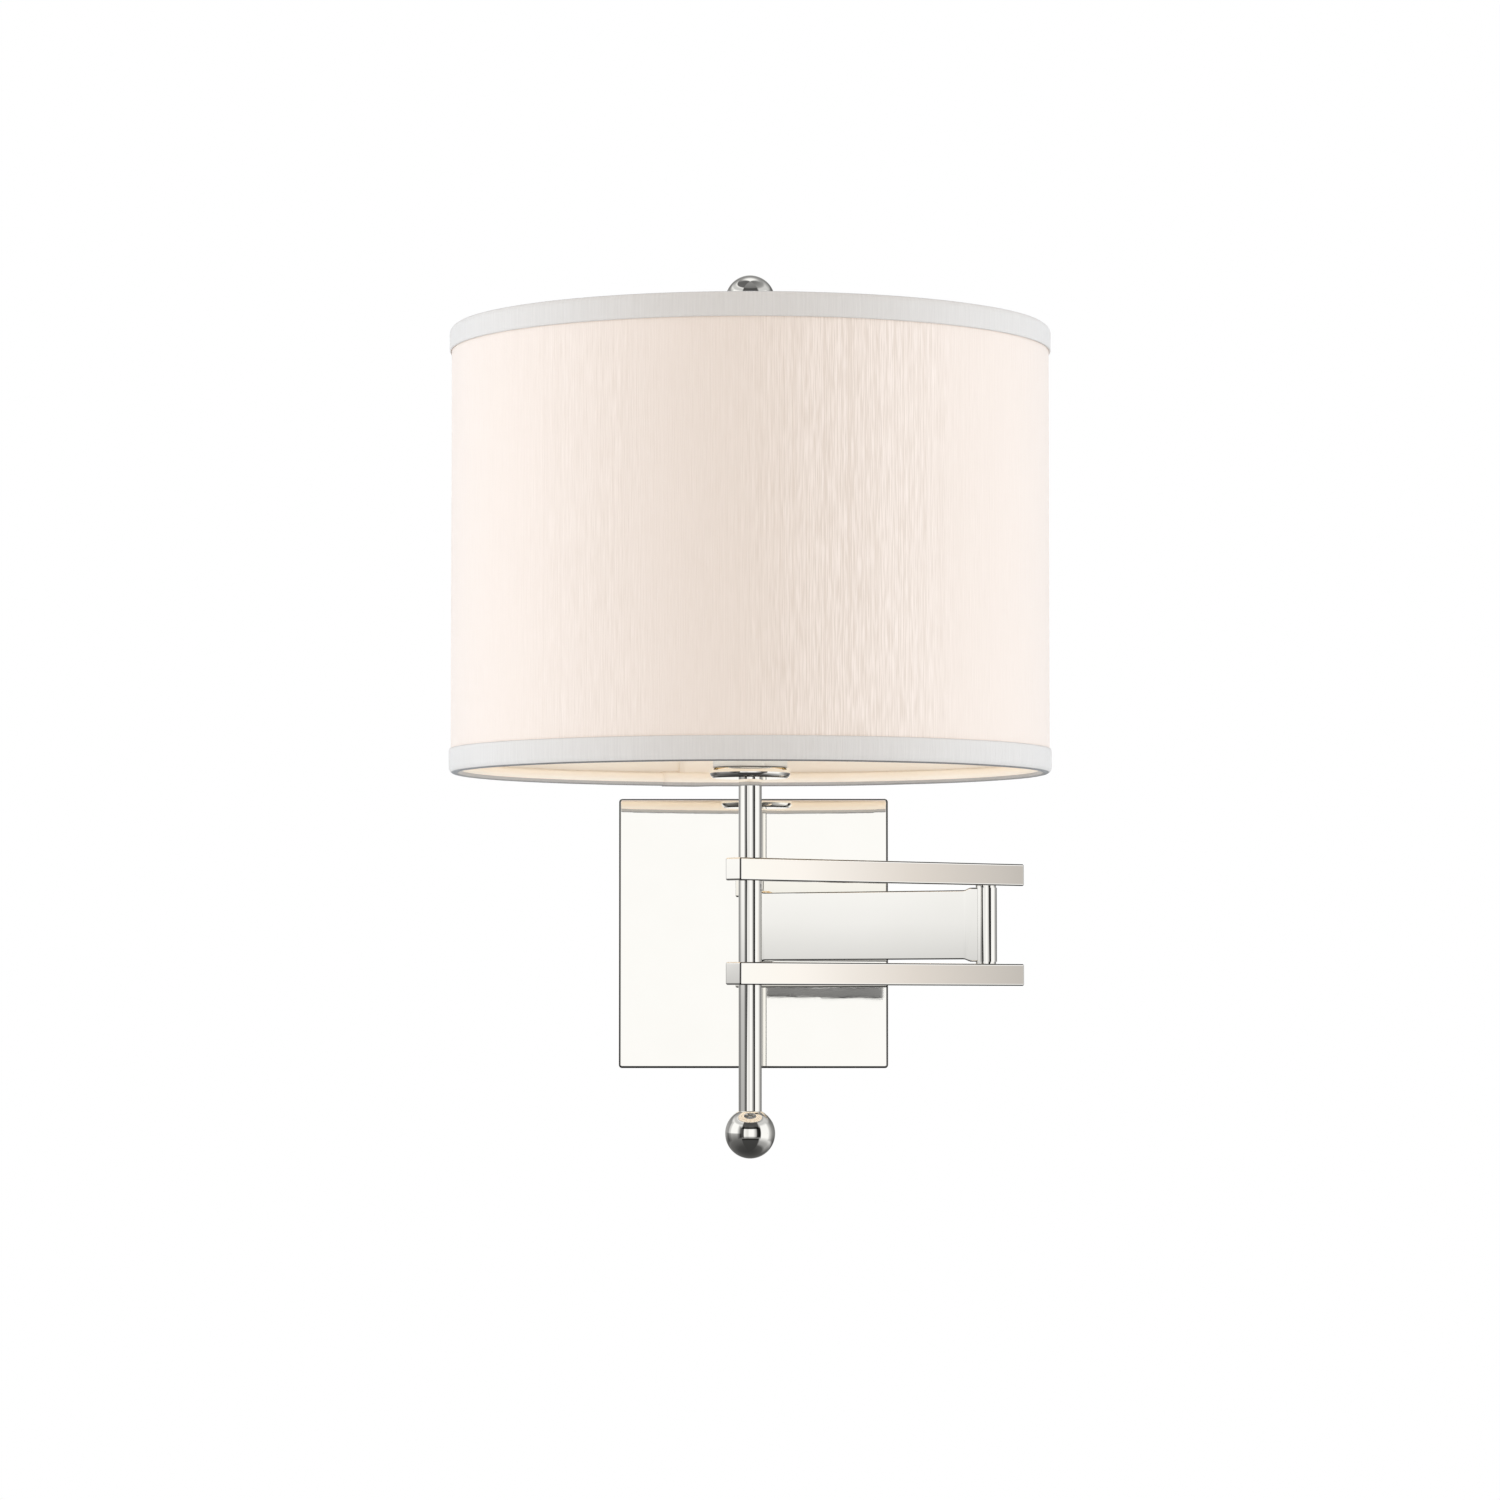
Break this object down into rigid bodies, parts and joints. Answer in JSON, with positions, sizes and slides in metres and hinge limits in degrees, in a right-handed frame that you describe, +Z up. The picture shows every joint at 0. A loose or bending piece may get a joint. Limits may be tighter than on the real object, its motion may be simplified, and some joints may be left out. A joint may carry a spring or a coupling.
{
  "type": "swing arm wall sconce",
  "caption": "Wall sconce with a fabric drum shade on a jointed swing arm of polished metal, fixed to a square canopy over a junction box.",
  "frame": {"origin": "middle of the canopy's rim on the wall face", "axes": "+Z up, +Y into the wall, the room on the -Y side, arms at their stored rest pose"},
  "size_m": [0.2794, 0.3458, 0.4106],
  "materials": {
    "polished_nickel": "polished",
    "shade_cloth": "slubbed silk weave",
    "trim_cloth": "fine weave",
    "shade_lining": "satin",
    "zinc_steel": "zinc plated",
    "brass_parts": "satin",
    "ground_green": "gloss",
    "cream_sleeve": "matt",
    "insulator_black": "matt",
    "bulb_glass": "frosted",
    "bulb_cap_metal": "bright"
  },
  "bodies": {
    "wall_mount": {"backplate": "polished_nickel", "mounting_strap": "zinc_steel", "canopy_set_screws": "zinc_steel", "ground_screw": "ground_green", "wall_yoke": "polished_nickel", "yoke_nipple": "zinc_steel", "yoke_nut": "zinc_steel", "wall_pivot_pin": "zinc_steel", "wall_pivot_screws": "polished_nickel", "wall_pivot_washers": "polished_nickel"},
    "rear_arm": {"rear_arm_plate": "polished_nickel", "wall_barrel": "polished_nickel", "elbow_barrel": "polished_nickel"},
    "front_arm": {"upper_front_bar": "polished_nickel", "lower_front_bar": "polished_nickel", "elbow_pin": "zinc_steel", "elbow_screws": "polished_nickel", "elbow_washers": "polished_nickel", "upper_stem": "polished_nickel", "middle_stem": "polished_nickel", "lower_stem": "polished_nickel", "stem_tube": "zinc_steel", "bottom_ball": "polished_nickel", "check_ring": "polished_nickel", "socket_locknut": "zinc_steel", "harp_saddle": "brass_parts", "harp_ferrules": "brass_parts", "harp": "brass_parts", "socket_cap": "brass_parts", "socket_insulator": "insulator_black", "socket_screw_shell": "brass_parts", "center_contact": "brass_parts", "socket_sleeve": "cream_sleeve", "bulb_base": "bulb_cap_metal", "bulb_glass": "bulb_glass", "shade_liner": "shade_lining", "shade_fabric": "shade_cloth", "shade_spider": "zinc_steel", "bottom_ring": "zinc_steel", "top_trim": "trim_cloth", "bottom_trim": "trim_cloth", "finial": "polished_nickel"}
  },
  "joints": [
    {"name": "wall_swing", "type": "hinge", "parent": "wall_mount", "child": "rear_arm", "pos_m": [0, -0.033, 0.003], "axis": [0, 0, -1], "range_deg": [-12, 78]},
    {"name": "elbow_fold", "type": "hinge", "parent": "rear_arm", "child": "front_arm", "pos_m": [0.11279, -0.10348, 0.003], "axis": [0, 0, -1], "range_deg": [-105.7, 14.3]}
  ]
}
